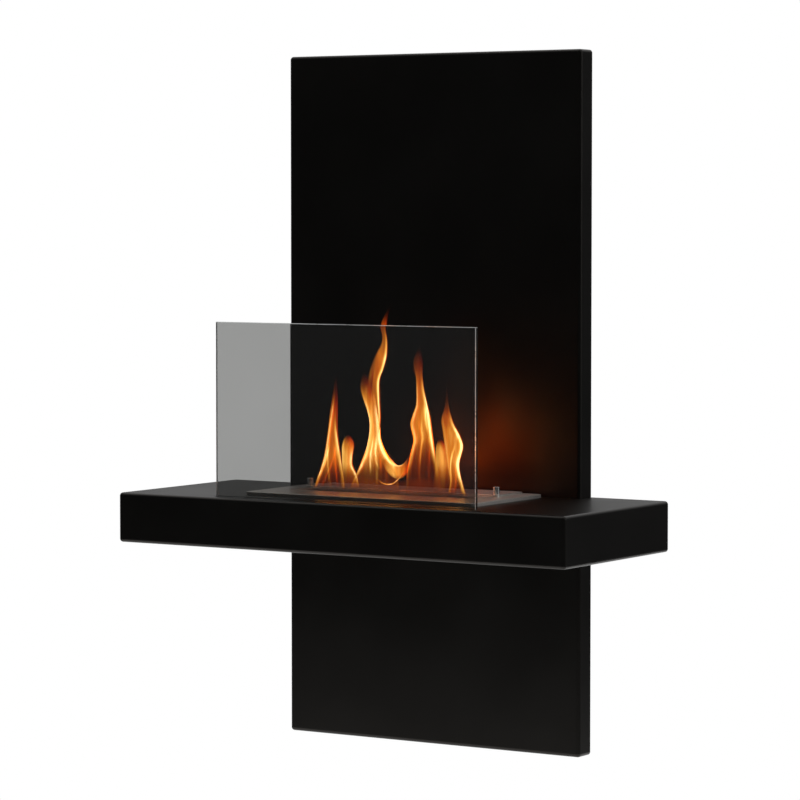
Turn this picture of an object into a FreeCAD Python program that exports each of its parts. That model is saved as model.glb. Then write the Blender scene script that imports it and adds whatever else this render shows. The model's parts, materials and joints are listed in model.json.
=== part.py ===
import FreeCAD
import Part
import os

# Wall-mounted fireplace, in millimetres.
# X runs to the right, +Y into the wall and +Z up.
# The origin is the centre of the wall rail's screw holes, on the wall plane.

# Back panel
PANEL_W = 400.0
PANEL_H = 810.0
PANEL_T = 26.0
SHEET = 2.0             # painted sheet of the panel and the shelf
BEND_R = 2.0            # inside bend radius of that sheet
RETURN_W = 14.0         # width of the panel's return edge at the wall
RAIL_DROP = 120.0       # rail hole centre below the panel's top edge

# Shelf
SHELF_W = 600.0
SHELF_D = 235.0
SHELF_H = 58.0
SHELF_TOP_UP = 298.0    # shelf top above the panel's bottom edge
NOTCH_GAP = 0.5         # gap between the panel's sides and the shelf's notch
LIP_W = 12.0            # visible frame around the bottom cover
LEDGE_W = 14.0          # joggled ledge that the cover is screwed to
LEDGE_LAP = 2.0         # overlap of lip and ledge
COVER_GAP = 0.5
RIB_INSET = 14.5        # rib inside the notch's corner
RIB_FLANGE = 12.0
RIB_END_GAP = 3.0       # rib ends clear of the glass channel
RIB_FLOOR_GAP = 20.0    # rib above the shelf's bottom

# Wall rail and hanger bar
RAIL_SHEET = 2.5
RAIL_LEG_H = 64.0
RAIL_STEP = 6.0         # room behind the rail's lip
RAIL_INSET = 20.0       # rail ends inside the hanger's ends
RAIL_HOLE_R = 3.5
RAIL_HOLE_INSET = 30.0  # holes inside the rail's ends
RAIL_HOLE_EDGE = 14.0   # holes inside the leg's upper and lower edges
HOOK_DEPTH = 12.0
HOOK_FLOOR_GAP = 3.0
HANGER_INSET = 30.0     # hanger ends inside the panel's sides
HANGER_LEG_H = 32.0

# Shelf bolts
BOLT_R = 4.0
BOLT_HOLE_R = 4.5
BOLT_INSET = 35.0       # bolts inside the panel's sides
BOLT_EDGE = 15.0        # bolts inside the shelf's top and bottom
BOLT_HEAD_AF = 13.0
BOLT_HEAD_H = 5.3
BOLT_TIP = 2.0          # bolt end past its nut
WASHER_R = 8.0
WASHER_HOLE_R = 4.2
WASHER_T = 1.6
NUT_H = 6.5
THREAD_GAP = 0.1
BACKING_EDGE_X = 17.0   # backing plate past the bolts, sideways
BACKING_EDGE_Z = 12.0   # backing plate past the bolts, up and down
BACKING_T = 3.0
HEX_SIDES = 6

# Bottom cover screws
SCREW_R = 2.0
SCREW_L = 8.0
SCREW_HEAD_R = 3.5
SCREW_HEAD_H = 1.2
SCREW_GAP = 0.3
CLINCH_R = 3.6
CLINCH_H = 3.0
ROW_SPACES = 3          # spaces between the front row's screws

# Glass pane, its channel and its seal
GLASS_W = 350.0
GLASS_T = 5.0
GLASS_UP = 201.0        # pane above the shelf
GLASS_IN = 18.0         # pane below the shelf's top
GLASS_SETBACK = 23.0    # middle of the pane behind the shelf's front
GLASS_CORNER_R = 2.0
SEAL_T = 1.2
SEAL_GAP = 0.1
SLOT_GAP = 0.2
CHANNEL_T = 1.5
CHANNEL_FLANGE = 10.0

# Burner plate, overflow tray, tank and wool
PLATE_W = 310.0
PLATE_FRONT_GAP = 52.0  # plate behind the shelf's front
PLATE_BACK_GAP = 8.0    # plate in front of the panel
PLATE_H = 4.0           # height of the turned-down edge
PLATE_T = 2.0
PLATE_CORNER_R = 4.0
PLATE_EDGE_R = 0.8
TRAY_INSET = 15.0       # tray inside the plate's edge
TRAY_FLOOR_GAP = 10.0   # tray above the shelf's bottom
TRAY_T = 1.2
TRAY_FLANGE = 9.0
TRAY_CORNER_R = 6.0
TRAY_GAP = 1.0          # tray to cut-out
TANK_FRONT_INSET = 18.0
TANK_BACK_INSET = 11.0
TANK_FLOOR_GAP = 12.0   # tank above the tray's underside
TANK_T = 1.5
WOOL_GAP = 0.5
WOOL_AIR = 10.0         # space between the wool and the plate
WOOL_EDGE_R = 3.0

# Sliding lid, fire slot, knobs and guide shoes
LID_SIDE_INSET = 24.0   # lid inside the plate's sides
LID_BACK_INSET = 3.0    # lid inside the plate's back edge
LID_D = 56.0
LID_T = 2.0
LID_CORNER_R = 2.0
LID_EDGE_R = 0.5
FIRE_SLOT_D = 30.0
FIRE_SLOT_INSET = 13.0  # slot ends inside the lid's sides
LID_OPEN_GAP = 4.0      # open lid behind the slot
LID_CLOSE_LAP = 6.0     # closed lid past the slot's front
KNOB_INSET = 4.5        # knob axis inside the lid's front and sides
KNOB_R = 3.75
KNOB_H = 9.0
KNOB_EDGE_R = 0.6
PIN_R = 2.0
PIN_GAP = 0.08
SHOE_W = 9.0
SHOE_H = 3.0
SHOE_GAP = 0.08
SHOE_ROOM = 2.0         # shoe beside the tank

# Places that follow from the sizes above
TINY = 1e-6
OUT_R = BEND_R + SHEET
Z_PANEL_TOP = RAIL_DROP
Z_PANEL_BOTTOM = Z_PANEL_TOP - PANEL_H
Z_TOP = Z_PANEL_BOTTOM + SHELF_TOP_UP
Z_BOTTOM = Z_TOP - SHELF_H
Z_UNDER = Z_TOP - SHEET
Z_COVER = Z_BOTTOM + SHEET
Y_PANEL = -PANEL_T
Y_PANEL_IN = Y_PANEL + SHEET
Y_NOTCH_IN = Y_PANEL - SHEET
NOTCH_HALF = PANEL_W / 2 + NOTCH_GAP
HANGER_L = PANEL_W - 2 * HANGER_INSET
RAIL_L = HANGER_L - 2 * RAIL_INSET
LIP_TOP = RAIL_LEG_H / 2 + HOOK_FLOOR_GAP + HOOK_DEPTH
GLASS_Y = GLASS_SETBACK - SHELF_D
PLATE_Y0 = PLATE_FRONT_GAP - SHELF_D
PLATE_Y1 = Y_PANEL - PLATE_BACK_GAP
TRAY_Y0 = PLATE_Y0 + TRAY_INSET
TRAY_Y1 = PLATE_Y1 - TRAY_INSET
TRAY_HALF = PLATE_W / 2 - TRAY_INSET
Z_TRAY = Z_BOTTOM + TRAY_FLOOR_GAP
LID_HALF = PLATE_W / 2 - LID_SIDE_INSET
LID_Y1 = PLATE_Y1 - LID_BACK_INSET
LID_Y0 = LID_Y1 - LID_D
LID_TRAVEL = LID_OPEN_GAP + FIRE_SLOT_D + LID_CLOSE_LAP
KNOB_X = LID_HALF - KNOB_INSET
KNOB_Y = LID_Y0 + KNOB_INSET
TANK_HALF = KNOB_X - SHOE_W / 2 - SHOE_ROOM
TANK_Y0 = TRAY_Y0 + TANK_FRONT_INSET
TANK_Y1 = TRAY_Y1 - TANK_BACK_INSET
Z_TANK = Z_TRAY + TANK_FLOOR_GAP
Z_PLATE = Z_TOP + PLATE_H
Z_PLATE_IN = Z_PLATE - PLATE_T
Z_WOOL = Z_PLATE_IN - WOOL_AIR
Z_LID = Z_PLATE + LID_T


def box(x0, x1, y0, y1, z0, z1):
    """Box between two corners."""
    return Part.makeBox(x1 - x0, y1 - y0, z1 - z0, FreeCAD.Vector(x0, y0, z0))


def mid_box(half_x, y0, y1, z0, z1):
    """Box centred on X = 0."""
    return box(-half_x, half_x, y0, y1, z0, z1)


def rod(r, x, y, z0, z1):
    """Upright cylinder."""
    return Part.makeCylinder(r, z1 - z0, FreeCAD.Vector(x, y, z0))


def pin_y(r, x, y0, y1, z):
    """Cylinder along Y."""
    return Part.makeCylinder(r, y1 - y0, FreeCAD.Vector(x, y0, z), FreeCAD.Vector(0, 1, 0))


def hex_y(across_flats, x, y0, y1, z):
    """Hexagonal prism along Y."""
    ring = Part.makeCircle(across_flats / 3 ** 0.5, FreeCAD.Vector(x, y0, z), FreeCAD.Vector(0, 1, 0))
    corners = ring.discretize(HEX_SIDES + 1)
    return Part.Face(Part.makePolygon(corners)).extrude(FreeCAD.Vector(0, y1 - y0, 0))


def extrude_x(points_yz, length):
    """Profile in the Y-Z plane, extruded along X about X = 0."""
    corners = [FreeCAD.Vector(-length / 2, y, z) for y, z in points_yz]
    corners.append(corners[0])
    return Part.Face(Part.makePolygon(corners)).extrude(FreeCAD.Vector(length, 0, 0))


def same(a, b):
    """True where two coordinates are equal."""
    return abs(a - b) < TINY


def upright(along):
    """True for a direction along Z."""
    return same(along.x, 0) and same(along.y, 0)


def depthwise(along):
    """True for a direction along Y."""
    return same(along.x, 0) and same(along.z, 0)


def round_edges(shape, radius, wanted):
    """Fillet the edges whose middle and direction are wanted."""
    chosen = []
    for edge in shape.Edges:
        along = edge.Vertexes[-1].Point - edge.Vertexes[0].Point
        if wanted(edge.CenterOfMass, along):
            chosen.append(edge)
    return shape.makeFillet(radius, chosen)


def rounded_block(half_x, y0, y1, z0, z1, radius):
    """Block centred on X = 0 with rounded upright corners."""
    block = mid_box(half_x, y0, y1, z0, z1)
    return round_edges(block, radius, lambda middle, along: upright(along))


def panel_block(inset, radius, y_back):
    """Panel-shaped block with its front and corner edges rounded."""
    y_front = Y_PANEL + inset
    block = mid_box(
        PANEL_W / 2 - inset, y_front, y_back, Z_PANEL_BOTTOM + inset, Z_PANEL_TOP - inset
    )
    return round_edges(
        block, radius, lambda middle, along: depthwise(along) or same(middle.y, y_front)
    )


def shelf_prism(inset, z0, z1):
    """The shelf's notched outline, moved inward and extruded."""
    x_out = SHELF_W / 2 - inset
    x_in = NOTCH_HALF + inset
    right = [(x_out, inset - SHELF_D), (x_out, -inset), (x_in, -inset), (x_in, Y_PANEL - inset)]
    left = [(-x, y) for x, y in reversed(right)]
    corners = [FreeCAD.Vector(x, y, z0) for x, y in right + left]
    corners.append(corners[0])
    return Part.Face(Part.makePolygon(corners)).extrude(FreeCAD.Vector(0, 0, z1 - z0))


def shelf_block(inset, radius):
    """Shelf-shaped block with its front and side edges rounded."""
    x_out = SHELF_W / 2 - inset
    y_front = inset - SHELF_D

    def wanted(middle, along):
        on_front = same(middle.y, y_front)
        on_side = same(abs(middle.x), x_out)
        if upright(along):
            return on_front and on_side
        return on_front or on_side

    return round_edges(shelf_prism(inset, Z_BOTTOM + inset, Z_TOP - inset), radius, wanted)


def edge_strips(near, far, z0, z1):
    """Strips along the shelf's edges, between two distances from the outline."""
    x_out = SHELF_W / 2
    strips = [
        mid_box(x_out - near, near - SHELF_D, far - SHELF_D, z0, z1),
        mid_box(NOTCH_HALF + far, Y_PANEL - far, Y_PANEL - near, z0, z1),
    ]
    right = [
        (x_out - far, x_out - near, near - SHELF_D, -near),
        (NOTCH_HALF + near, x_out - near, -far, -near),
        (NOTCH_HALF + near, NOTCH_HALF + far, Y_PANEL - far, -near),
    ]
    for x0, x1, y0, y1 in right:
        strips.append(box(x0, x1, y0, y1, z0, z1))
        strips.append(box(-x1, -x0, y0, y1, z0, z1))
    return strips


def bolt_places():
    """Centres of the shelf bolts in X and Z."""
    x = PANEL_W / 2 - BOLT_INSET
    return [(sx * x, z) for sx in (-1, 1) for z in (Z_TOP - BOLT_EDGE, Z_BOTTOM + BOLT_EDGE)]


def cover_places():
    """Centres of the bottom cover's screws in X and Y."""
    edge = LIP_W + LEDGE_W / 2
    x_row = SHELF_W / 2 - edge
    pitch = 2 * x_row / ROW_SPACES
    places = [(n * pitch - x_row, edge - SHELF_D) for n in range(ROW_SPACES + 1)]
    for side in (-1, 1):
        places.append((side * x_row, -edge))
        places.append((side * pitch / 2, Y_PANEL - edge))
    return places


def save(name, shapes):
    """Write one node from its solids."""
    solids = []
    for shape in shapes:
        solids.extend(shape.Solids)
    whole = solids[0] if len(solids) == 1 else Part.makeCompound(solids)
    whole.exportStep("parts/" + name + ".step")


os.makedirs("parts", exist_ok=True)

# Wall rail: a leg on the wall and a lip that stands up in front of it
leg = RAIL_LEG_H / 2
rail_front = -(RAIL_STEP + RAIL_SHEET)
rail = extrude_x(
    [
        (0, -leg),
        (0, leg),
        (-RAIL_STEP, leg),
        (-RAIL_STEP, LIP_TOP),
        (rail_front, LIP_TOP),
        (rail_front, leg - RAIL_SHEET),
        (-RAIL_SHEET, leg - RAIL_SHEET),
        (-RAIL_SHEET, -leg),
    ],
    RAIL_L,
)
for sx in (-1, 1):
    for sz in (-1, 1):
        x_hole = sx * (RAIL_L / 2 - RAIL_HOLE_INSET)
        z_hole = sz * (leg - RAIL_HOLE_EDGE)
        rail = rail.cut(pin_y(RAIL_HOLE_R, x_hole, -RAIL_SHEET, 0, z_hole))
save("wall_rail", [rail])

# Hanger bar: welded inside the panel, its lip hooks behind the rail's lip
y_lip = -(RAIL_STEP - RAIL_SHEET) / 2
y_lip_front = y_lip - RAIL_SHEET
y_leg = Y_PANEL_IN + RAIL_SHEET
hanger = extrude_x(
    [
        (y_lip, LIP_TOP - HOOK_DEPTH),
        (y_lip, LIP_TOP + RAIL_SHEET),
        (y_leg, LIP_TOP + RAIL_SHEET),
        (y_leg, LIP_TOP + HANGER_LEG_H),
        (Y_PANEL_IN, LIP_TOP + HANGER_LEG_H),
        (Y_PANEL_IN, LIP_TOP),
        (y_lip_front, LIP_TOP),
        (y_lip_front, LIP_TOP - HOOK_DEPTH),
    ],
    HANGER_L,
)
save("hanger_bar", [hanger])

# Back panel: folded pan, open to the wall inside its return edge
panel = panel_block(0, OUT_R, 0)
panel = panel.cut(panel_block(SHEET, BEND_R, -SHEET))
opening = mid_box(
    PANEL_W / 2 - RETURN_W, -SHEET, 0, Z_PANEL_BOTTOM + RETURN_W, Z_PANEL_TOP - RETURN_W
)
panel = panel.cut(opening)
for x, z in bolt_places():
    panel = panel.cut(pin_y(BOLT_HOLE_R, x, Y_PANEL, Y_PANEL_IN, z))
save("back_panel", [panel])

# Backing plate, bolts, washers and nuts that carry the shelf
y_backing = Y_PANEL_IN + BACKING_T
backing = mid_box(
    PANEL_W / 2 - BOLT_INSET + BACKING_EDGE_X,
    Y_PANEL_IN,
    y_backing,
    Z_BOTTOM + BOLT_EDGE - BACKING_EDGE_Z,
    Z_TOP - BOLT_EDGE + BACKING_EDGE_Z,
)
bolts = []
washers = []
nuts = []
y_seat = Y_NOTCH_IN - WASHER_T
y_nut = y_backing + NUT_H
for x, z in bolt_places():
    backing = backing.cut(pin_y(BOLT_HOLE_R, x, Y_PANEL_IN, y_backing, z))
    head = hex_y(BOLT_HEAD_AF, x, y_seat - BOLT_HEAD_H, y_seat, z)
    bolts.append(head.fuse(pin_y(BOLT_R, x, y_seat, y_nut + BOLT_TIP, z)).removeSplitter())
    disc = pin_y(WASHER_R, x, y_seat, Y_NOTCH_IN, z)
    washers.append(disc.cut(pin_y(WASHER_HOLE_R, x, y_seat, Y_NOTCH_IN, z)))
    nut = hex_y(BOLT_HEAD_AF, x, y_backing, y_nut, z)
    nuts.append(nut.cut(pin_y(BOLT_R + THREAD_GAP, x, y_backing, y_nut, z)))
save("backing_plate", [backing])
save("shelf_bolts", bolts)
save("shelf_washers", washers)
save("shelf_nuts", nuts)

# Shelf shell: notched folded box, open below inside its lip and ledge
ledge = edge_strips(LIP_W - LEDGE_LAP, LIP_W + LEDGE_W, Z_COVER, Z_COVER + SHEET)
shelf = shelf_block(0, OUT_R).cut(shelf_block(SHEET, BEND_R))
shelf = shelf.cut(shelf_prism(LIP_W, Z_BOTTOM, Z_COVER))
shelf = shelf.fuse(ledge).removeSplitter()
for x, y in cover_places():
    shelf = shelf.cut(rod(SCREW_R + SCREW_GAP, x, y, Z_COVER, Z_COVER + SHEET))
for x, z in bolt_places():
    shelf = shelf.cut(pin_y(BOLT_HOLE_R, x, Y_NOTCH_IN, Y_PANEL, z))
cutout = rounded_block(
    TRAY_HALF + TRAY_GAP,
    TRAY_Y0 - TRAY_GAP,
    TRAY_Y1 + TRAY_GAP,
    Z_UNDER,
    Z_TOP,
    TRAY_CORNER_R + TRAY_GAP,
)
shelf = shelf.cut(cutout)
seal_half_x = GLASS_W / 2 + SEAL_GAP + SEAL_T
seal_half_y = GLASS_T / 2 + SEAL_GAP + SEAL_T
slot_half_y = seal_half_y + SLOT_GAP
slot = mid_box(
    seal_half_x + SLOT_GAP, GLASS_Y - slot_half_y, GLASS_Y + slot_half_y, Z_UNDER, Z_TOP
)
shelf = shelf.cut(slot)
save("shelf_shell", [shelf])

# Bottom cover, set flush in the lip, with its screws and clinch nuts
cover = shelf_prism(LIP_W + COVER_GAP, Z_BOTTOM, Z_COVER)
screws = []
clinch_nuts = []
z_head = Z_BOTTOM + SCREW_HEAD_H
z_clinch = Z_COVER + SHEET
for x, y in cover_places():
    cover = cover.cut(rod(SCREW_R + SCREW_GAP, x, y, Z_BOTTOM, Z_COVER))
    cover = cover.cut(rod(SCREW_HEAD_R + SCREW_GAP, x, y, Z_BOTTOM, z_head))
    head = rod(SCREW_HEAD_R, x, y, Z_BOTTOM, z_head)
    screws.append(head.fuse(rod(SCREW_R, x, y, z_head, z_head + SCREW_L)).removeSplitter())
    clinch = rod(CLINCH_R, x, y, z_clinch, z_clinch + CLINCH_H)
    clinch_nuts.append(clinch.cut(rod(SCREW_R + THREAD_GAP, x, y, z_clinch, z_clinch + CLINCH_H)))
save("shelf_bottom_cover", [cover])
save("cover_screws", screws)
save("cover_nuts", clinch_nuts)

# Glass channel welded under the slot, its seal, and the pane
z_pane = Z_TOP - GLASS_IN
z_seal = z_pane - SEAL_T
pocket_y = GLASS_T / 2 + SEAL_GAP
pocket = mid_box(GLASS_W / 2 + SEAL_GAP, GLASS_Y - pocket_y, GLASS_Y + pocket_y, z_pane, Z_TOP)
seal = mid_box(seal_half_x, GLASS_Y - seal_half_y, GLASS_Y + seal_half_y, z_seal, Z_TOP)
channel_x = seal_half_x + CHANNEL_T
channel_y = seal_half_y + CHANNEL_T
wings_y = channel_y + CHANNEL_FLANGE
channel = mid_box(
    channel_x, GLASS_Y - channel_y, GLASS_Y + channel_y, z_seal - CHANNEL_T, Z_UNDER
)
wings = mid_box(channel_x, GLASS_Y - wings_y, GLASS_Y + wings_y, Z_UNDER - CHANNEL_T, Z_UNDER)
channel = channel.fuse(wings).removeSplitter().cut(seal)
pane = mid_box(
    GLASS_W / 2, GLASS_Y - GLASS_T / 2, GLASS_Y + GLASS_T / 2, z_pane, Z_TOP + GLASS_UP
)
pane = round_edges(pane, GLASS_CORNER_R, lambda middle, along: depthwise(along))
save("glass_channel", [channel])
save("glass_seal", [seal.cut(pocket)])
save("glass_pane", [pane])

# Ribs welded under the shelf's top sheet, from the glass channel to the notch wall
rib_x = NOTCH_HALF - RIB_INSET
rib_y0 = GLASS_Y + wings_y + RIB_END_GAP
for name, side in (("shelf_rib_left", -1), ("shelf_rib_right", 1)):
    x_web = sorted([side * rib_x, side * (rib_x + SHEET)])
    x_flange = sorted([side * rib_x, side * (rib_x + RIB_FLANGE)])
    web = box(x_web[0], x_web[1], rib_y0, Y_NOTCH_IN, Z_BOTTOM + RIB_FLOOR_GAP, Z_UNDER)
    flange = box(x_flange[0], x_flange[1], rib_y0, Y_NOTCH_IN, Z_UNDER - SHEET, Z_UNDER)
    save(name, [web.fuse(flange).removeSplitter()])

# Overflow tray, dropped into the shelf's cut-out
pan = rounded_block(TRAY_HALF, TRAY_Y0, TRAY_Y1, Z_TRAY, Z_TOP, TRAY_CORNER_R)
rim = rounded_block(
    TRAY_HALF + TRAY_FLANGE,
    TRAY_Y0 - TRAY_FLANGE,
    TRAY_Y1 + TRAY_FLANGE,
    Z_TOP,
    Z_TOP + TRAY_T,
    TRAY_CORNER_R,
)
hollow = rounded_block(
    TRAY_HALF - TRAY_T,
    TRAY_Y0 + TRAY_T,
    TRAY_Y1 - TRAY_T,
    Z_TRAY + TRAY_T,
    Z_TOP + TRAY_T,
    TRAY_CORNER_R - TRAY_T,
)
save("overflow_tray", [pan.fuse(rim).removeSplitter().cut(hollow)])

# Burner plate with its fire slot and the two guide slots of the lid
plate = rounded_block(PLATE_W / 2, PLATE_Y0, PLATE_Y1, Z_TOP, Z_PLATE, PLATE_CORNER_R)
plate = round_edges(plate, PLATE_EDGE_R, lambda middle, along: same(middle.z, Z_PLATE))
underside = rounded_block(
    PLATE_W / 2 - PLATE_T,
    PLATE_Y0 + PLATE_T,
    PLATE_Y1 - PLATE_T,
    Z_TOP,
    Z_PLATE_IN,
    PLATE_CORNER_R - PLATE_T,
)
plate = plate.cut(underside)
slot_y1 = LID_Y0 - LID_OPEN_GAP
fire_slot = mid_box(
    LID_HALF - FIRE_SLOT_INSET, slot_y1 - FIRE_SLOT_D, slot_y1, Z_PLATE_IN, Z_PLATE
)
plate = plate.cut(fire_slot)
guide_r = PIN_R + PIN_GAP
for side in (-1, 1):
    x_pin = side * KNOB_X
    y_end = KNOB_Y - LID_TRAVEL
    plate = plate.cut(rod(guide_r, x_pin, KNOB_Y, Z_PLATE_IN, Z_PLATE))
    plate = plate.cut(rod(guide_r, x_pin, y_end, Z_PLATE_IN, Z_PLATE))
    plate = plate.cut(box(x_pin - guide_r, x_pin + guide_r, y_end, KNOB_Y, Z_PLATE_IN, Z_PLATE))
save("burner_plate", [plate])

# Fuel tank welded under the plate, and the wool that soaks up the fuel
tank = mid_box(TANK_HALF, TANK_Y0, TANK_Y1, Z_TANK, Z_PLATE_IN)
tank_hollow = mid_box(
    TANK_HALF - TANK_T, TANK_Y0 + TANK_T, TANK_Y1 - TANK_T, Z_TANK + TANK_T, Z_PLATE_IN
)
wool_inset = TANK_T + WOOL_GAP
wool = mid_box(
    TANK_HALF - wool_inset, TANK_Y0 + wool_inset, TANK_Y1 - wool_inset, Z_TANK + TANK_T, Z_WOOL
)
wool = round_edges(wool, WOOL_EDGE_R, lambda middle, along: same(middle.z, Z_WOOL))
save("fuel_tank", [tank.cut(tank_hollow)])
save("ceramic_wool", [wool])

# Sliding lid, its knobs with their pins, and the guide shoes on the pins
lid = rounded_block(LID_HALF, LID_Y0, LID_Y1, Z_PLATE, Z_LID, LID_CORNER_R)
lid = round_edges(lid, LID_EDGE_R, lambda middle, along: same(middle.z, Z_LID))
z_shoe_top = Z_PLATE_IN - SHOE_GAP
z_shoe = z_shoe_top - SHOE_H
z_knob = Z_LID + KNOB_H
shoe_half = SHOE_W / 2
knobs = []
shoes = []
for side in (-1, 1):
    x_pin = side * KNOB_X
    lid = lid.cut(rod(guide_r, x_pin, KNOB_Y, Z_PLATE, Z_LID))
    grip = rod(KNOB_R, x_pin, KNOB_Y, Z_LID, z_knob)
    grip = round_edges(grip, KNOB_EDGE_R, lambda middle, along: same(middle.z, z_knob))
    knobs.append(grip.fuse(rod(PIN_R, x_pin, KNOB_Y, z_shoe, Z_LID)).removeSplitter())
    shoe = box(
        x_pin - shoe_half,
        x_pin + shoe_half,
        KNOB_Y - shoe_half,
        KNOB_Y + shoe_half,
        z_shoe,
        z_shoe_top,
    )
    shoes.append(shoe.cut(rod(guide_r, x_pin, KNOB_Y, z_shoe, z_shoe_top)))
save("sliding_lid", [lid])
save("lid_knobs", knobs)
save("guide_shoes", shoes)
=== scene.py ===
import json
import math

import bmesh
import bpy
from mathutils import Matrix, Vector, noise


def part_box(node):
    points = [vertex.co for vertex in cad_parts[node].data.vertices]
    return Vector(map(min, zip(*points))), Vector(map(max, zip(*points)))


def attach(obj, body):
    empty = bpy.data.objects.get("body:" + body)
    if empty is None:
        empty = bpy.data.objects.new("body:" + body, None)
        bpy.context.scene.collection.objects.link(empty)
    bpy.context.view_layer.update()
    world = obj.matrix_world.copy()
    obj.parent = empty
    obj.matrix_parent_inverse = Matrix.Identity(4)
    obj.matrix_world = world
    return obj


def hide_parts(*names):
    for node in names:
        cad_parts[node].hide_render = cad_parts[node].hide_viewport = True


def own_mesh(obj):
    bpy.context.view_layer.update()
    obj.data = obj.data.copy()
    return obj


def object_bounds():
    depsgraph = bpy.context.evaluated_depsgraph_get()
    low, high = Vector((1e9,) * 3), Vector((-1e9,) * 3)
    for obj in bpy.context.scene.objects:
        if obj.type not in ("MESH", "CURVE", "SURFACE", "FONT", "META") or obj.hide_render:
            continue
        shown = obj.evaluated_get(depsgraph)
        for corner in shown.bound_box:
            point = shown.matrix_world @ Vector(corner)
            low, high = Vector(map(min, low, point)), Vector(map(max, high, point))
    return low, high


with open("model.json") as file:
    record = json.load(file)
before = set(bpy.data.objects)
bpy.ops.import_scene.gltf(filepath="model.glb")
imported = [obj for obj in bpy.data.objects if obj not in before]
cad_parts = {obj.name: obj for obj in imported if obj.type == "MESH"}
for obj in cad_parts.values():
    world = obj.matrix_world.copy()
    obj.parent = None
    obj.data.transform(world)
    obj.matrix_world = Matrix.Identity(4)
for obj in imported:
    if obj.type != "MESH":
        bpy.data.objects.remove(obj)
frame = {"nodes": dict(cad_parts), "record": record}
cad_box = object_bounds()

# Sizes are in metres in the part's own frame: X right, +Y into the wall, +Z up.
# Those of the fire slot and the flames are in millimetres.
MM = 0.001
WHITE = (1.0, 1.0, 1.0, 1.0)
BLACK = (0.0, 0.0, 0.0, 1.0)

# Camera at the photograph's viewing angle
CAMERA_AZIMUTH = math.radians(32.45)
CAMERA_ELEVATION = math.radians(3.14)
CAMERA_DISTANCE = 4.150
CAMERA_TARGET = Vector((-0.0598, 0.0, -0.28776))
LENS_MM = 157.44
SENSOR_MM = 36.0

# Floor
FLOOR_DROP = 0.36             # floor below the part
FLOOR_SIZE = 2.6
FLOOR_COLOUR = (0.93, 0.93, 0.92, 1.0)
FLOOR_WHITE = 0.72            # share of the floor that is plain white under the part
FLOOR_FADE = (0.625, 1.25)    # from the first distance to the second it turns wholly white

# White backdrop behind the part, as gloss mirrors it
BACKDROP_AZIMUTH = math.radians(-36.0)
BACKDROP_HALF = math.radians(32.0)
BACKDROP_TOP = math.radians(1.4)
BACKDROP_BLUR = math.radians(6.0)

# Room that gloss mirrors beside the backdrop. A pair named after across, depth or height gives the
# values of a direction's X, Y or Z between which a light changes.
ROOM_LEVEL = (0.025, 0.045)   # in front of the part, and behind it
ROOM_DEPTH = (-0.4, 0.6)
ABOVE_LEVEL = 0.85            # soft light overhead
ABOVE_RIGHT = 0.35            # share of it that is left on the right
ABOVE_HEIGHT = (0.12, 0.6)
ABOVE_DEPTH = (-0.6, 0.0)
ABOVE_ACROSS = (0.0, 0.5)
SIDE_LEVEL = 0.90             # soft light on the right, for polished edges
SIDE_ACROSS = (0.72, 0.86)
SIDE_DEPTH = (0.15, 0.3)
SIDE_HEIGHT = (-0.05, 0.05)

# Light on matt surfaces: a fill from all sides, and lamps
FILL_LEVEL = 0.55
LAMPS = {
    "key_lamp": {"place": (1.6, -1.3, 2.2), "size": 1.6, "watts": 26.0},
    "left_lamp": {"place": (-2.0, -0.6, 1.8), "size": 1.8, "watts": 16.0},
}

# Grain of the materials
GRAIN_SPAN = (0.3, 0.7)       # most of a noise lies between these values
GRAIN_DETAIL = 3.0
RELIEF_DETAIL = 2.0

# Glass screen
GLASS_ARRIS = 0.0007          # ground chamfer along every edge of the pane
GLASS_FLAT = 0.99             # the normal of a face that is no chamfer is at least this on one axis

# Wool mat
WOOL_CELL = 0.004             # spacing of the mesh that carries the lumps
WOOL_SINK = 0.0016            # deepest dent
WOOL_ROUND = 0.004            # rounding of the edges
WOOL_ROUND_STEPS = 3
WOOL_LUMP = 90.0              # lumps per metre
WOOL_FIBRE = 4.0              # fibres for each lump
WOOL_LUMP_SHARE = 0.7         # shares of lumps and fibres in the dents
WOOL_FIBRE_SHARE = 0.3

# Fire slot in the burner plate
SLOT_DEPTH = 30.0
LID_GAP = 4.0                 # open lid behind the slot

# Shape of the flames
FLAME_FOOT = 1.0              # they start this far below the plate's top
FLAME_RISE = 5.7              # bodies stand this far above their feet
FLAME_RISE_END = 12.0         # a foot ends at this height
FLAME_RIGHT = 2.0             # all tongues moved along the plate
FLAME_INSET = 0.8             # sides drawn in, for the bloom of the bright rims
FLAME_INSET_MOST = 0.25       # share of the width that this may take
FLAME_THIN = 0.2              # least width
FLAME_FLAT = 0.4              # greatest half thickness, as a share of the width
FLAME_COLUMNS = 30            # faces across each half of a tongue
FLAME_ROWS = 64

# Light of the flames. A pair named rise, fade or turn gives the shares of a tongue's length, counted
# from its foot, between which something changes.
FLAME_STRENGTH = 8.6
FLAME_CLEAR = (2.0, 8.0)      # all of it sets in between these heights
RIM_WIDTH = 1.5               # bright rim of a tongue
RIM_FOOT = 0.1                # share of its light at the foot, where the tongue has no root of its own
RIM_RISE = (0.0, 0.2)
RIM_FADE = (0.55, 0.95)
RIM_HEAT = 0.55               # heat and opacity that rims and ridges add
RIM_VEIL = 0.6
RIDGE_WIDTH = 1.1             # bright line inside a tongue
RIDGE_LEVEL = 0.6             # its light, as a share of a rim's
RIDGE_END = 0.5               # share of the length at which it reaches its second place
RIDGE_FADE = (0.35, 0.5)
BODY_FOOT = 0.45              # share of the body's heat at the foot
BODY_TIP = 0.28               # and at the tip
BODY_RISE = (0.0, 0.35)
BODY_FADE = (0.55, 1.0)
FILM_FOOT = 0.07              # opacity of the body at the foot
FILM_FULL = 0.65              # and further up
FILM_RISE = (0.05, 0.40)
FILM_FADE = (0.7, 1.0)
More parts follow.
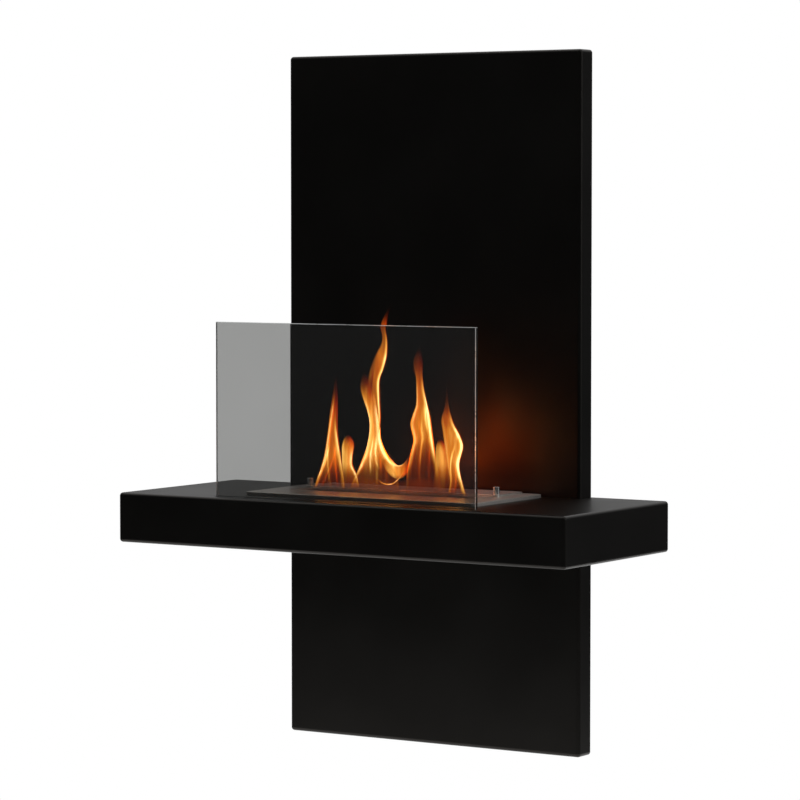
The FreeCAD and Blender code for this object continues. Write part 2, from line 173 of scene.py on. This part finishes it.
SOFT_WIDTH = 5.0              # a side without a bright rim fades over this width
SOFT_TURN = (0.5, 0.9)        # a side with one fades further up
STREAK_HEAT = 0.14            # heat that fine streaks add or take
STREAK_SCALE = (210.0, 120.0, 16.0)
EMBER_TINT = (1.0, 0.22, 0.05, 1.0)   # the far half of a tongue, seen through its near half, is redder
EMBER_DEPTH = (0.10, 0.45)    # from the first share of half the thickness to the second
FLAME_RAMP = [
    (0.0, (0.035, 0.0040, 0.0003)),
    (0.25, (0.15, 0.024, 0.0010)),
    (0.5, (0.29, 0.100, 0.0065)),
    (0.75, (0.50, 0.245, 0.042)),
    (1.0, (0.86, 0.520, 0.200)),
]

# Light that the flames throw on the panel
WALL_TINT = (1.0, 0.25, 0.01, 1.0)
WALL_LEVEL = (0.25, 4.0)      # least and greatest strength
WALL_MIDDLE = 12.0            # greatest here along the plate
WALL_HALF = 36.0              # and falling off over this width
WALL_RISE = (8.0, 22.0)       # heights between which it sets in
WALL_FALL = (38.0, 100.0)     # and dies away


# Numbers

def even(value):
    """The same value on all three axes or channels."""
    return (value, value, value)


def mix(low, high, share):
    """Value between low and high."""
    return low + (high - low) * share


def step(low, high, value):
    """Smooth step from 0 at low to 1 at high."""
    share = max(0.0, min(1.0, (value - low) / (high - low)))
    return share * share * (3 - 2 * share)


def bell(distance, width):
    """1 at no distance, falling off over the width."""
    return math.exp(-((distance / width) ** 2))


def noise_share(place):
    """Noise at a place, from 0 to 1."""
    return 0.5 + 0.5 * noise.noise(place)


def on_curve(points, t):
    """Point on the smooth curve through the points, for t from 0 to 1."""
    last = len(points) - 1
    n = min(int(t * last), last - 1)
    f = t * last - n
    a, b, c, d = (Vector(points[max(0, min(k, last))]) for k in range(n - 1, n + 3))
    return b + 0.5 * f * ((c - a) + f * (2 * a - 5 * b + 4 * c - d + f * (3 * (b - c) + d - a)))


# Material nodes

def feed(tree, socket, value):
    """Link a socket, or set its constant."""
    if isinstance(value, bpy.types.NodeSocket):
        tree.links.new(value, socket)
    else:
        socket.default_value = value


def add(tree, kind, inputs=None, **settings):
    """Add a node, set its properties and feed its inputs."""
    made = tree.nodes.new(kind)
    for name, value in settings.items():
        setattr(made, name, value)
    for name, value in (inputs or {}).items():
        feed(tree, made.inputs[name], value)
    return made


def math_node(tree, operation, a, b=0.0):
    """One sum on two values."""
    return add(tree, "ShaderNodeMath", {0: a, 1: b}, operation=operation).outputs[0]


def combine(tree, operation, *values):
    """One sum carried through all the values."""
    result = values[0]
    for value in values[1:]:
        result = math_node(tree, operation, result, value)
    return result


def between(tree, factor, low, high, start=0.0, end=1.0):
    """Value from low to high as the factor goes from start to end."""
    sizes = {"Value": factor, "From Min": start, "From Max": end, "To Min": low, "To Max": high}
    return add(tree, "ShaderNodeMapRange", sizes).outputs["Result"]


def ramp(tree, factor, stops):
    """Colour that follows stops of place and colour."""
    made = add(tree, "ShaderNodeValToRGB", {"Fac": factor})
    elements = made.color_ramp.elements
    while len(elements) < len(stops):
        elements.new(1.0)
    for element, (place, colour) in zip(elements, stops):
        element.position = place
        element.color = (*colour, 1.0)
    return made.outputs["Color"]


def grain(tree, scale, detail=GRAIN_DETAIL):
    """Noise over the part's own metres, stretched by a scale for each axis."""
    place = add(tree, "ShaderNodeTexCoord").outputs["Object"]
    spread = add(tree, "ShaderNodeMapping", {"Vector": place, "Scale": scale}).outputs["Vector"]
    return add(tree, "ShaderNodeTexNoise", {"Vector": spread, "Scale": 1.0, "Detail": detail}).outputs[0]


def attribute(tree, name):
    """Value that the mesh carries under a name."""
    return add(tree, "ShaderNodeAttribute", attribute_name=name).outputs["Fac"]


def mix_colours(tree, factor, first, second, blend="MIX"):
    """Second colour laid over the first, as far as the factor says."""
    colours = {"Fac": factor, "Color1": first, "Color2": second}
    return add(tree, "ShaderNodeMixRGB", colours, blend_type=blend).outputs["Color"]


def mix_shaders(tree, factor, first, second):
    """Second shader in place of the first, as far as the factor says."""
    return add(tree, "ShaderNodeMixShader", {"Fac": factor, 1: first, 2: second}).outputs["Shader"]


def blank(name):
    """New material with its node tree and shader."""
    material = bpy.data.materials.new(name)
    material.use_nodes = True
    return material, material.node_tree, material.node_tree.nodes["Principled BSDF"]


# Finishes: one for each slot of the record, and one for the pane's edges. Colours and roughness lie between
# two values, grain and relief are per metre on each axis, and depth is that of the relief in metres.
FINISHES = {
    "black_coat": {
        "colours": (even(0.0010), even(0.0020)), "rough": (0.31, 0.36),
        "scale": even(9.0), "relief": even(800.0), "depth": 8e-6,
        "constants": {"Specular IOR Level": 0.45, "Specular Tint": (1.0, 0.93, 0.85, 1.0)},
    },
    "zinc_steel": {
        "colours": ((0.40, 0.41, 0.44), (0.60, 0.61, 0.63)), "rough": (0.30, 0.50),
        "scale": even(70.0), "relief": even(500.0), "depth": 8e-6,
        "constants": {"Metallic": 0.75},
    },
    "fastener_steel": {
        "colours": ((0.44, 0.43, 0.38), (0.62, 0.61, 0.56)), "rough": (0.24, 0.40),
        "scale": even(160.0), "relief": even(900.0), "depth": 8e-6,
        "constants": {"Metallic": 0.85},
    },
    "black_screws": {
        "colours": (even(0.008), even(0.020)), "rough": (0.34, 0.52),
        "scale": even(180.0), "relief": even(1200.0), "depth": 8e-6,
        "constants": {"Specular IOR Level": 0.4},
    },
    "tinted_glass": {
        "colours": ((0.335, 0.338, 0.332), (0.350, 0.353, 0.347)), "rough": (0.0, 0.012),
        "scale": even(7.0), "relief": even(30.0), "depth": 1e-6,
        "constants": {"Transmission Weight": 0.975, "IOR": 1.5},
    },
    "glass_edge": {
        "colours": ((0.40, 0.42, 0.42), (0.52, 0.54, 0.54)), "rough": (0.22, 0.38),
        "scale": even(60.0), "relief": even(900.0), "depth": 6e-6,
        "constants": {"Transmission Weight": 0.5, "IOR": 1.5},
    },
    "seal_rubber": {
        "colours": (even(0.006), even(0.014)), "rough": (0.68, 0.86),
        "scale": even(260.0), "relief": even(1500.0), "depth": 2e-5,
        "constants": {"Specular IOR Level": 0.2},
    },
    "tank_steel": {
        "colours": (even(0.48), even(0.62)), "rough": (0.28, 0.44),
        "scale": (30.0, 30.0, 260.0), "relief": even(420.0), "depth": 5e-6,
        "constants": {"Metallic": 0.85},
    },
    "brushed_stainless": {
        "colours": ((0.62, 0.59, 0.55), (0.88, 0.84, 0.79)), "rough": (0.28, 0.42),
        "scale": (7.0, 1100.0, 1100.0), "relief": (9.0, 1700.0, 1700.0), "depth": 7e-6,
        "constants": {"Metallic": 0.80},
    },
    "polished_steel": {
        "colours": ((0.74, 0.73, 0.72), (0.88, 0.88, 0.87)), "rough": (0.04, 0.10),
        "scale": even(120.0), "relief": even(700.0), "depth": 1e-6,
        "constants": {"Metallic": 0.9},
    },
    "wool": {
        "colours": ((0.58, 0.56, 0.52), (0.86, 0.84, 0.80)), "rough": (0.90, 1.0),
        "scale": (240.0, 420.0, 420.0), "relief": (700.0, 1300.0, 1300.0), "depth": 3e-4,
        "constants": {"Specular IOR Level": 0.1},
    },
}


def finish(name, colours, rough, scale, relief, depth, constants):
    """Material whose colour and roughness follow a grain, with fine relief."""
    material, tree, shader = blank(name)
    pattern = grain(tree, scale)
    height = grain(tree, relief, RELIEF_DETAIL)
    bump = add(tree, "ShaderNodeBump", {"Height": height, "Distance": depth, "Strength": 1.0})
    feed(tree, shader.inputs["Base Color"], ramp(tree, pattern, list(zip(GRAIN_SPAN, colours))))
    feed(tree, shader.inputs["Roughness"], between(tree, pattern, *rough, *GRAIN_SPAN))
    feed(tree, shader.inputs["Normal"], bump.outputs["Normal"])
    for socket, value in constants.items():
        feed(tree, shader.inputs[socket], value)
    return material


def dress_nodes(finishes):
    """Give every carried-over node the finish of its slot."""
    for part in frame["record"]["subparts"]:
        mesh = frame["nodes"][part["node"]].data
        mesh.materials.clear()
        mesh.materials.append(finishes[part["material_slot"]])


# Meshes and pieces

def block_mesh(low, high):
    """Box between two corners, ready for more work."""
    work = bmesh.new()
    bmesh.ops.create_cube(work, size=1.0)
    middle = (low + high) / 2
    size = high - low
    for vertex in work.verts:
        vertex.co = Vector(middle[k] + vertex.co[k] * size[k] for k in range(3))
    return work


def finished_mesh(name, work):
    """Mesh of the work that is done."""
    mesh = bpy.data.meshes.new(name)
    work.to_mesh(mesh)
    work.free()
    return mesh


def shade_smooth(mesh):
    """Smooth shading on every face."""
    for face in mesh.polygons:
        face.use_smooth = True


def new_piece(name, mesh):
    """Object for a finished mesh, in the scene."""
    piece = bpy.data.objects.new(name, mesh)
    bpy.context.scene.collection.objects.link(piece)
    return piece


def make_glass(finishes):
    """Pane with chamfered edges: tinted faces and ground chamfers."""
    work = block_mesh(*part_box("glass_pane"))
    bmesh.ops.bevel(work, geom=work.edges[:], offset=GLASS_ARRIS, segments=1, affect="EDGES")
    for face in work.faces:
        face.material_index = 0 if max(abs(k) for k in face.normal) > GLASS_FLAT else 1
    mesh = finished_mesh("glass_screen", work)
    mesh.materials.append(finishes["tinted_glass"])
    mesh.materials.append(finishes["glass_edge"])
    pane = new_piece("glass_screen", mesh)
    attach(pane, "glass")
    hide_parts("glass_pane")


def make_wool(finishes):
    """Fibre mat in the tank, lumpy on its faces and drawn in at its corners."""
    low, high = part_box("ceramic_wool")
    size = high - low
    work = block_mesh(low, high)
    bmesh.ops.bevel(work, geom=work.edges[:], offset=WOOL_ROUND, segments=WOOL_ROUND_STEPS, affect="EDGES")
    for axis in range(3):
        direction = Vector(even(0.0))
        direction[axis] = 1.0
        for n in range(1, round(size[axis] / WOOL_CELL)):
            everything = work.verts[:] + work.edges[:] + work.faces[:]
            place = low + direction * n * WOOL_CELL
            bmesh.ops.bisect_plane(work, geom=everything, plane_co=place, plane_no=direction)
    work.normal_update()
    for vertex in work.verts:
        lump = noise_share(vertex.co * WOOL_LUMP)
        fibre = noise_share(vertex.co * WOOL_LUMP * WOOL_FIBRE)
        vertex.co -= vertex.normal * WOOL_SINK * (WOOL_LUMP_SHARE * lump + WOOL_FIBRE_SHARE * fibre)
    mesh = finished_mesh("wool_mat", work)
    mesh.materials.append(finishes["wool"])
    shade_smooth(mesh)
    mat = new_piece("wool_mat", mesh)
    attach(mat, "burner")
    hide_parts("ceramic_wool")


# Flames: left and right sides from the slot up, along the plate and above it. Shift is towards the wall,
# depth is half the thickness, glow is the brightness of the two rims, body the heat between them, and a
# ridge runs from one share of the width to another. Where they are given, root is the share of the rims'
# light at the foot, and film a factor on the body's opacity.
TONGUES = {
    "flame_left": {
        "left": [(-108, 0), (-100, 13), (-92, 34), (-87, 60), (-82, 87), (-78, 110), (-75, 138)],
        "right": [(-62, 0), (-66, 20), (-69, 36), (-72, 51), (-75, 70), (-75, 97), (-74, 138)],
        "shift": -3, "depth": 8, "glow": (1.0, 0.7), "body": 0.42, "ridges": [(0.10, 0.50), (0.70, 0.30)],
        "root": 0.6, "film": 0.85,
    },
    "flame_left_small": {
        "left": [(-76, 0), (-73, 20), (-72, 36), (-72, 48), (-69, 57), (-64, 62)],
        "right": [(-46, 0), (-52, 14), (-58, 24), (-58, 34), (-56, 50), (-63, 62)],
        "shift": 5, "depth": 6, "glow": (0.1, 0.6), "body": 0.68, "ridges": [],
    },
    "flame_main": {
        "left": [(-62, 0), (-51, 15), (-43, 30), (-37, 43), (-33, 60), (-32, 75), (-35, 88), (-42, 106),
                 (-45, 119), (-41, 139)],
        "right": [(10, 0), (3, 24), (-6, 35), (-13, 47), (-17, 58), (-18, 70), (-21, 88), (-24, 106),
                  (-30, 119), (-40, 139)],
        "shift": 2, "depth": 11, "glow": (1.0, 0.9), "body": 0.70, "ridges": [(0.45, 0.60), (0.62, 0.85)],
    },
    "flame_main_tail": {
        "left": [(-25, 36), (-22, 63), (-23, 100), (-24, 119), (-21, 137), (-18, 156), (-12, 167),
                 (-11, 177), (-14, 190), (-8, 203), (3, 220)],
        "right": [(-9, 36), (-16, 58), (-14, 80), (-15, 103), (-15, 124), (-9, 139), (-5, 154),
                  (-4, 171), (-6, 184), (-4, 199), (4, 220)],
        "shift": -4, "depth": 6, "glow": (0.2, 0.9), "body": 0.38, "ridges": [], "film": 0.8,
    },
    "flame_main_haze": {
        "left": [(-42, 98), (-38, 122), (-33, 140), (-25, 157), (-17, 172)],
        "right": [(-20, 98), (-19, 126), (-17, 140), (-14, 157), (-16, 172)],
        "shift": 5, "depth": 4, "glow": (0.0, 0.0), "body": 0.36, "ridges": [], "film": 0.6,
    },
    "flame_bridge": {
        "left": [(-18, 34), (-10, 18), (2, 11), (14, 15), (22, 30)],
        "right": [(-15, 46), (-6, 35), (3, 28), (13, 31), (23, 44)],
        "shift": 6, "depth": 5, "glow": (0.1, 0.5), "body": 0.66, "ridges": [],
    },
    "flame_bow": {
        "left": [(-18, 12), (-9, 7.5), (3, 7), (11, 10), (18, 17), (23, 29), (27, 47)],
        "right": [(-18, 13.4), (-9, 9.2), (2.5, 8.7), (10, 11.4), (17, 18), (22.4, 29.6), (26.6, 47.5)],
        "shift": -7, "depth": 1.5, "glow": (0.45, 0.1), "body": 0.55, "ridges": [],
    },
    "flame_third": {
        "left": [(18, 0), (20, 22), (26, 46), (29, 58), (25, 75), (28, 87), (32, 99), (32, 118),
                 (31, 133), (28, 149), (37, 170)],
        "right": [(68, 0), (60, 30), (56, 50), (54, 62), (52, 76), (50, 88), (47, 100), (43, 116),
                  (41, 132), (41, 149), (38, 170)],
        "shift": 1, "depth": 10, "glow": (0.8, 0.9), "body": 0.47, "ridges": [(0.25, 0.20), (0.52, 0.80)],
    },
    "flame_third_side": {
        "left": [(41, 62), (42, 84), (44, 100), (47, 113)],
        "right": [(55, 62), (51, 84), (50, 98), (48, 113)],
        "shift": -6, "depth": 4, "glow": (0.1, 0.8), "body": 0.50, "ridges": [],
    },
    "flame_third_wisp": {
        "left": [(31, 120), (27, 132), (20, 144)],
        "right": [(36, 124), (31, 137), (21, 145)],
        "shift": 5, "depth": 2, "glow": (0.0, 0.0), "body": 0.35, "ridges": [],
    },
    "flame_right_small": {
        "left": [(52, 0), (54, 25), (55, 45), (57, 56), (61, 62)],
        "right": [(79, 0), (76, 26), (73, 40), (69, 51), (62, 62)],
        "shift": 6, "depth": 6, "glow": (0.1, 0.2), "body": 0.58, "ridges": [],
    },
    "flame_right": {
        "left": [(76, 0), (79, 12), (76, 30), (73, 50), (70, 70), (68, 84), (72, 100), (75, 133)],
        "right": [(103, 0), (96, 12), (92, 32), (97, 52), (93, 64), (84, 79), (78, 100), (75.5, 133)],
        "shift": -2, "depth": 8, "glow": (0.5, 1.0), "body": 0.50, "ridges": [(0.05, 0.80)], "root": 0.6,
    },
    "flame_base": {
        "left": [(-104, 0), (-55, 0), (0, 0), (50, 0), (100, 0)],
        "right": [(-102, 5), (-55, 15), (0, 12), (50, 16), (99, 6)],
        "shift": 0, "depth": 7, "glow": (0.0, 0.0), "body": 0.22, "ridges": [], "film": 0.12,
    },
}


def flame_values(tongue, u, t, width):
    """Heat and opacity of a tongue at a share of its width and of its length."""
    from_left = u * width
    from_right = (1 - u) * width
    left_glow, right_glow = tongue["glow"]
    bright = bell(from_left, RIM_WIDTH) * left_glow + bell(from_right, RIM_WIDTH) * right_glow
    for start, end in tongue["ridges"]:
        away = (u - mix(start, end, t / RIDGE_END)) * width
        bright += RIDGE_LEVEL * bell(away, RIDGE_WIDTH) * (1 - step(*RIDGE_FADE, t))
    root = tongue.get("root", RIM_FOOT)
    bright *= mix(root, 1.0, step(*RIM_RISE, t)) * (1 - step(*RIM_FADE, t))
    warmth = mix(BODY_FOOT, 1.0, step(*BODY_RISE, t)) * mix(1.0, BODY_TIP, step(*BODY_FADE, t))
    hard = 1 - step(*SOFT_TURN, t)
    left_soft = mix(left_glow * hard, 1.0, step(0.0, SOFT_WIDTH, from_left))
    right_soft = mix(right_glow * hard, 1.0, step(0.0, SOFT_WIDTH, from_right))
    film = mix(FILM_FOOT, FILM_FULL, step(*FILM_RISE, t)) * (1 - step(*FILM_FADE, t))
    film *= tongue.get("film", 1.0)
    heat = tongue["body"] * warmth + RIM_HEAT * bright
    veil = film * left_soft * right_soft + RIM_VEIL * bright
    return min(1.0, heat), min(1.0, veil)


def wall_glow(x, z):
    """Strength of the light towards the wall: most low on the middle tongues."""
    share = bell(x - WALL_MIDDLE, WALL_HALF) * step(*WALL_RISE, z) * (1 - step(*WALL_FALL, z))
    return mix(*WALL_LEVEL, share)


def tongue_sides(tongue, t):
    """Left and right side of a tongue at a share of its length, drawn in."""
    left = on_curve(tongue["left"], t)
    right = on_curve(tongue["right"], t)
    span = right - left
    inset = span * min(FLAME_INSET_MOST, FLAME_INSET / max(span.length, FLAME_THIN))
    return left + inset, right - inset


def close_shell(work, rings):
    """Join rings of points to a closed shell, and say which faces are on the wall's side."""
    count = 2 * FLAME_COLUMNS
    wall_sides = []
    for lower, upper in zip(rings, rings[1:]):
        for k in range(count):
            n = (k + 1) % count
            work.faces.new((lower[k], lower[n], upper[n], upper[k]))
            wall_sides.append(float(k >= FLAME_COLUMNS))
    for cap in (rings[0][::-1], rings[-1]):
        work.faces.new(cap)
        wall_sides.append(0.0)
    bmesh.ops.recalc_face_normals(work, faces=work.faces[:])
    return wall_sides


def flame_mesh(name, tongue, origin):
    """Closed lens-shaped shell between a tongue's two sides, with its light as values of the mesh."""
    work = bmesh.new()
    values = {"fire_heat": [], "veil": [], "ember": [], "wall_glow": []}
    rings = []
    for row in range(FLAME_ROWS + 1):
        t = row / FLAME_ROWS
        left, right = tongue_sides(tongue, t)
        width = max((right - left).length, FLAME_THIN)
        half = min(tongue["depth"], FLAME_FLAT * width)
        ring = []
        for column in range(2 * FLAME_COLUMNS):
            angle = math.pi * column / FLAME_COLUMNS
            u = 0.5 - 0.5 * math.cos(angle)
            x, z = mix(left, right, u)
            y = tongue["shift"] - half * math.sin(angle)
            height = z + FLAME_RISE * step(0.0, FLAME_RISE_END, z)
            ring.append(work.verts.new(origin + MM * Vector((x + FLAME_RIGHT, y, height))))
            heat, veil = flame_values(tongue, u, t, width)
            values["fire_heat"].append(heat)
            values["veil"].append(veil * step(*FLAME_CLEAR, height))
            values["ember"].append(step(*EMBER_DEPTH, -math.sin(angle)))
            values["wall_glow"].append(wall_glow(x, z))
        rings.append(ring)
    wall_sides = close_shell(work, rings)
    mesh = finished_mesh(name, work)
    for value, numbers in values.items():
        mesh.attributes.new(value, "FLOAT", "POINT").data.foreach_set("value", numbers)
    mesh.attributes.new("wall_side", "FLOAT", "FACE").data.foreach_set("value", wall_sides)
    shade_smooth(mesh)
    return mesh


def flame_material():
    """Glow and opacity from the values of the mesh, with fine upright streaks."""
    material, tree, shader = blank("flame")
    streak = between(tree, grain(tree, STREAK_SCALE), -STREAK_HEAT, STREAK_HEAT, *GRAIN_SPAN)
    glow = ramp(tree, math_node(tree, "ADD", attribute(tree, "fire_heat"), streak), FLAME_RAMP)
    to_room = mix_colours(tree, attribute(tree, "ember"), glow, EMBER_TINT, "MULTIPLY")
    tinted = mix_colours(tree, 1.0, glow, WALL_TINT, "MULTIPLY")
    scaled = {0: tinted, "Scale": attribute(tree, "wall_glow")}
    to_wall = add(tree, "ShaderNodeVectorMath", scaled, operation="SCALE").outputs["Vector"]
    # 1 on a face of the wall's side met from outside, or of the room's side met from inside
    inside = add(tree, "ShaderNodeNewGeometry").outputs["Backfacing"]
    from_wall = math_node(tree, "SUBTRACT", attribute(tree, "wall_side"), inside)
    from_wall = math_node(tree, "ABSOLUTE", from_wall)
    feed(tree, shader.inputs["Base Color"], BLACK)
    feed(tree, shader.inputs["Roughness"], 1.0)
    feed(tree, shader.inputs["Specular IOR Level"], 0.0)
    feed(tree, shader.inputs["Emission Color"], mix_colours(tree, from_wall, to_room, to_wall))
    feed(tree, shader.inputs["Emission Strength"], FLAME_STRENGTH)
    feed(tree, shader.inputs["Alpha"], attribute(tree, "veil"))
    return material


def make_flames():
    """Tongues that rise from the fire slot, carried with the burner."""
    slot_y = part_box("sliding_lid")[0].y - MM * (LID_GAP + SLOT_DEPTH / 2)
    origin = Vector((0.0, slot_y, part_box("burner_plate")[1].z - MM * FLAME_FOOT))
    material = flame_material()
    for name, tongue in TONGUES.items():
        mesh = flame_mesh(name, tongue, origin)
        mesh.materials.append(material)
        flame = new_piece(name, mesh)
        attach(flame, "burner")
        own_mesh(flame)


# Stage

def floor_material():
    """Pale and matt, partly plain white where it is seen, and clear from below."""
    material, tree, shader = blank("floor")
    feed(tree, shader.inputs["Base Color"], FLOOR_COLOUR)
    feed(tree, shader.inputs["Roughness"], 1.0)
    feed(tree, shader.inputs["Specular IOR Level"], 0.0)
    white = add(tree, "ShaderNodeEmission", {"Color": WHITE, "Strength": 1.0}).outputs["Emission"]
    clear = add(tree, "ShaderNodeBsdfTransparent").outputs["BSDF"]
    path = add(tree, "ShaderNodeLightPath").outputs
    rays = (path["Is Camera Ray"], path["Is Transmission Ray"], path["Is Glossy Ray"])
    place = add(tree, "ShaderNodeTexCoord").outputs["Object"]
    away = add(tree, "ShaderNodeVectorMath", {0: place}, operation="LENGTH").outputs["Value"]
    white_share = between(tree, away, FLOOR_WHITE, 1.0, *FLOOR_FADE)
    share = math_node(tree, "MULTIPLY", combine(tree, "MAXIMUM", *rays), white_share)
    top = mix_shaders(tree, share, shader.outputs["BSDF"], white)
    under = add(tree, "ShaderNodeNewGeometry").outputs["Backfacing"]
    whole = mix_shaders(tree, under, top, clear)
    feed(tree, tree.nodes["Material Output"].inputs["Surface"], whole)
    return material


def make_floor():
    """Pale floor that reads as white and keeps the part's shadow."""
    work = bmesh.new()
    bmesh.ops.create_grid(work, x_segments=1, y_segments=1, size=FLOOR_SIZE / 2)
    mesh = finished_mesh("floor", work)
    mesh.materials.append(floor_material())
    floor = new_piece("floor", mesh)
    floor.location.z = cad_box[0][2] - FLOOR_DROP


def backdrop_share(tree, way, height):
    """1 where a direction meets the backdrop, with blurred edges."""
    axis = Vector((math.sin(BACKDROP_AZIMUTH), math.cos(BACKDROP_AZIMUTH), 0.0))
    towards = add(tree, "ShaderNodeVectorMath", {0: way, 1: axis}, operation="DOT_PRODUCT").outputs["Value"]
    inner = math.cos(BACKDROP_HALF)
    outer = math.cos(BACKDROP_HALF + BACKDROP_BLUR)
    top = math.sin(BACKDROP_TOP)
    end = math.sin(BACKDROP_TOP + BACKDROP_BLUR)
    beside = between(tree, towards, 0.0, 1.0, outer, inner)
    below = between(tree, height, 1.0, 0.0, top, end)
    return math_node(tree, "MULTIPLY", beside, below)


def room_level(tree, across, depth, height):
    """Level of the dim room and its two soft lights in a direction."""
    room = between(tree, depth, *ROOM_LEVEL, *ROOM_DEPTH)
    above = combine(
        tree, "MULTIPLY",
        between(tree, height, 0.0, ABOVE_LEVEL, *ABOVE_HEIGHT),
        between(tree, depth, 0.0, 1.0, *ABOVE_DEPTH),
        between(tree, across, 1.0, ABOVE_RIGHT, *ABOVE_ACROSS),
    )
    side = combine(
        tree, "MULTIPLY",
        between(tree, across, 0.0, SIDE_LEVEL, *SIDE_ACROSS),
        between(tree, depth, 0.0, 1.0, *SIDE_DEPTH),
        between(tree, height, 0.0, 1.0, *SIDE_HEIGHT),
    )
    return combine(tree, "ADD", room, above, side)


def make_world():
    """White background; gloss mirrors it as a backdrop behind the part in a dim room."""
    world = bpy.data.worlds.new("studio")
    bpy.context.scene.world = world
    world.use_nodes = True
    tree = world.node_tree
    path = add(tree, "ShaderNodeLightPath").outputs
    way = add(tree, "ShaderNodeTexCoord").outputs["Generated"]
    across, depth, height = add(tree, "ShaderNodeSeparateXYZ", {"Vector": way}).outputs[:3]
    # A path that has met gloss or a matt surface still counts so after it has gone through the pane
    glossed = math_node(tree, "MINIMUM", path["Glossy Depth"], 1.0)
    gloss = math_node(tree, "MAXIMUM", path["Is Glossy Ray"], glossed)
    scattered = math_node(tree, "MINIMUM", path["Diffuse Depth"], 1.0)
    straight = math_node(tree, "SUBTRACT", 1.0, math_node(tree, "MAXIMUM", gloss, scattered))
    through = math_node(tree, "MULTIPLY", path["Is Transmission Ray"], straight)
    mirrored = math_node(tree, "MULTIPLY", backdrop_share(tree, way, height), gloss)
    seen = combine(tree, "MAXIMUM", path["Is Camera Ray"], through, mirrored)
    level = between(tree, gloss, FILL_LEVEL, room_level(tree, across, depth, height))
    background = tree.nodes["Background"]
    feed(tree, background.inputs["Color"], WHITE)
    feed(tree, background.inputs["Strength"], between(tree, seen, level, 1.0))


def make_lamps():
    """Large soft lamps above the part, on both sides."""
    for name, lamp in LAMPS.items():
        data = bpy.data.lights.new(name, "AREA")
        data.energy = lamp["watts"]
        data.size = lamp["size"]
        light = bpy.data.objects.new(name, data)
        light.location = lamp["place"]
        light.rotation_euler = (Vector(lamp["place"]) - CAMERA_TARGET).to_track_quat("Z", "Y").to_euler()
        light.visible_camera = False
        light.visible_glossy = False
        bpy.context.scene.collection.objects.link(light)


def make_camera():
    """Long lens at the photograph's angle."""
    data = bpy.data.cameras.new("camera")
    data.lens = LENS_MM
    data.sensor_width = SENSOR_MM
    camera = bpy.data.objects.new("camera", data)
    level = math.cos(CAMERA_ELEVATION)
    away = Vector((
        math.sin(CAMERA_AZIMUTH) * level,
        -math.cos(CAMERA_AZIMUTH) * level,
        math.sin(CAMERA_ELEVATION),
    ))
    camera.location = CAMERA_TARGET + CAMERA_DISTANCE * away
    camera.rotation_euler = away.to_track_quat("Z", "Y").to_euler()
    bpy.context.scene.collection.objects.link(camera)
    bpy.context.scene.camera = camera


finishes = {name: finish(name, **values) for name, values in FINISHES.items()}
dress_nodes(finishes)
make_glass(finishes)
make_wool(finishes)
make_flames()
make_floor()
make_world()
make_lamps()
make_camera()
bpy.context.scene.view_settings.view_transform = "Standard"
